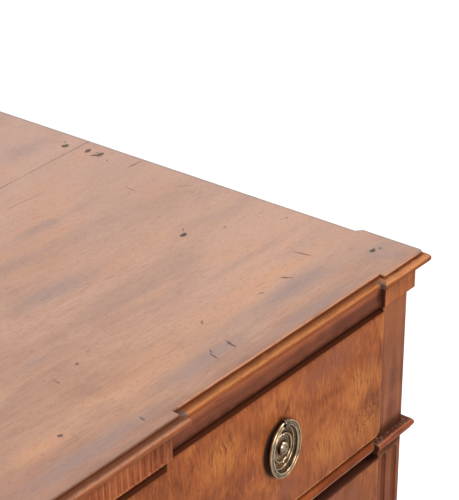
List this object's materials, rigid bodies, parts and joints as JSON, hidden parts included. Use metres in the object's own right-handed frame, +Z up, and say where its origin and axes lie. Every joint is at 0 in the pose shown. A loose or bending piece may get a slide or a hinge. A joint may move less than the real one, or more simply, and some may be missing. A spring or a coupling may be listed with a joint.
{
  "type": "commode",
  "caption": "Breakfront chest of drawers with a moulded stepped top, fluted corner posts on tapered feet, sliding drawers and swinging oval brass ring pulls.",
  "frame": {"origin": "on the floor, under the middle of the top's outline", "axes": "+X to the right of someone facing the front, +Y to the back, +Z up; the drawers open towards -Y"},
  "size_m": [1.043, 0.5886, 0.84],
  "materials": {
    "top_wood": "aged satin wax, pale and scratched",
    "case_wood": "aged satin wax",
    "post_wood": "aged satin wax",
    "frieze_wood": "aged satin wax, darker",
    "drawer_wood": "figured veneer, satin wax",
    "plain_wood": "bare, unpolished",
    "brass": "aged, rubbed bright on the high points"
  },
  "bodies": {
    "carcase": {"top_board": "top_wood", "frieze_rail": "frieze_wood", "fluted_tablet": "case_wood", "capital_left": "case_wood", "side_frieze_left": "case_wood", "front_post_left": "post_wood", "back_post_left": "post_wood", "side_panel_left": "case_wood", "waist_moulding_left": "post_wood", "base_moulding_left": "post_wood", "capital_right": "case_wood", "side_frieze_right": "case_wood", "front_post_right": "post_wood", "back_post_right": "post_wood", "side_panel_right": "case_wood", "waist_moulding_right": "post_wood", "base_moulding_right": "post_wood", "waist_rail": "post_wood", "middle_rail": "case_wood", "base_rail": "post_wood", "back_board_upper": "plain_wood", "back_board_lower": "plain_wood", "bottom_board": "plain_wood", "top_runner_left": "plain_wood", "top_runner_right": "plain_wood", "middle_runner_left": "plain_wood", "middle_runner_right": "plain_wood", "bottom_runner_left": "plain_wood", "bottom_runner_right": "plain_wood"},
    "top_drawer": {"top_drawer_front": "drawer_wood", "top_drawer_left_side": "plain_wood", "top_drawer_right_side": "plain_wood", "top_drawer_back": "plain_wood", "top_drawer_floor": "plain_wood", "top_escutcheon": "brass", "top_left_backplate": "brass", "top_right_backplate": "brass"},
    "middle_drawer": {"middle_drawer_front": "drawer_wood", "middle_drawer_left_side": "plain_wood", "middle_drawer_right_side": "plain_wood", "middle_drawer_back": "plain_wood", "middle_drawer_floor": "plain_wood", "middle_escutcheon": "brass", "middle_left_backplate": "brass", "middle_right_backplate": "brass"},
    "bottom_drawer": {"bottom_drawer_front": "drawer_wood", "bottom_drawer_left_side": "plain_wood", "bottom_drawer_right_side": "plain_wood", "bottom_drawer_back": "plain_wood", "bottom_drawer_floor": "plain_wood", "bottom_escutcheon": "brass", "bottom_left_backplate": "brass", "bottom_right_backplate": "brass"},
    "top_left_ring": {"top_left_ring": "brass"},
    "top_right_ring": {"top_right_ring": "brass"},
    "middle_left_ring": {"middle_left_ring": "brass"},
    "middle_right_ring": {"middle_right_ring": "brass"},
    "bottom_left_ring": {"bottom_left_ring": "brass"},
    "bottom_right_ring": {"bottom_right_ring": "brass"}
  },
  "joints": [
    {"name": "top_drawer_slide", "type": "slide", "parent": "carcase", "child": "top_drawer", "axis": [0, -1, 0], "range_m": [0, 0.42]},
    {"name": "middle_drawer_slide", "type": "slide", "parent": "carcase", "child": "middle_drawer", "axis": [0, -1, 0], "range_m": [0, 0.42]},
    {"name": "bottom_drawer_slide", "type": "slide", "parent": "carcase", "child": "bottom_drawer", "axis": [0, -1, 0], "range_m": [0, 0.42]},
    {"name": "top_left_ring_swing", "type": "hinge", "parent": "top_drawer", "child": "top_left_ring", "pos_m": [-0.3072, -0.2876, 0.7622], "axis": [-1, 0, 0], "range_deg": [0, 100]},
    {"name": "top_right_ring_swing", "type": "hinge", "parent": "top_drawer", "child": "top_right_ring", "pos_m": [0.3072, -0.2876, 0.7622], "axis": [-1, 0, 0], "range_deg": [0, 100]},
    {"name": "middle_left_ring_swing", "type": "hinge", "parent": "middle_drawer", "child": "middle_left_ring", "pos_m": [-0.3072, -0.2876, 0.55635], "axis": [-1, 0, 0], "range_deg": [0, 100]},
    {"name": "middle_right_ring_swing", "type": "hinge", "parent": "middle_drawer", "child": "middle_right_ring", "pos_m": [0.3072, -0.2876, 0.55635], "axis": [-1, 0, 0], "range_deg": [0, 100]},
    {"name": "bottom_left_ring_swing", "type": "hinge", "parent": "bottom_drawer", "child": "bottom_left_ring", "pos_m": [-0.3072, -0.2876, 0.30165], "axis": [-1, 0, 0], "range_deg": [0, 100]},
    {"name": "bottom_right_ring_swing", "type": "hinge", "parent": "bottom_drawer", "child": "bottom_right_ring", "pos_m": [0.3072, -0.2876, 0.30165], "axis": [-1, 0, 0], "range_deg": [0, 100]}
  ]
}
